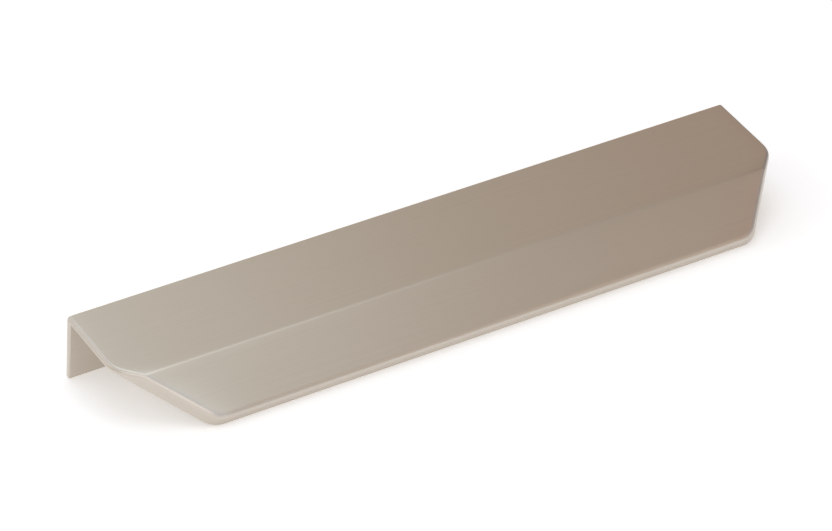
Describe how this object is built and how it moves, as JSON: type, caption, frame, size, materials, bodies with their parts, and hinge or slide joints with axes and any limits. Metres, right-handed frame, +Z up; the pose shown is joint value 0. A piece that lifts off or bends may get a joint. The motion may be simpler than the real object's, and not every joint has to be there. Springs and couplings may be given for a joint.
{
  "type": "furniture handle",
  "caption": "Brushed aluminium edge pull: back flange and flat plate that hook over a drawer front, with a thick sloping nose cut back at both ends as the finger grip",
  "frame": {"origin": "on the floor, under the centre of the bounding box, with the handle lying as it rests on its flange foot and lip edge", "axes": "+X along the handle, -Y towards the lip at the front, +Z up from the floor"},
  "size_m": [0.2, 0.0454, 0.0193],
  "materials": {
    "brushed_metal": "brushed along the length, satin nickel tone"
  },
  "bodies": {
    "root": {"handle_profile": "brushed_metal"}
  },
  "joints": []
}
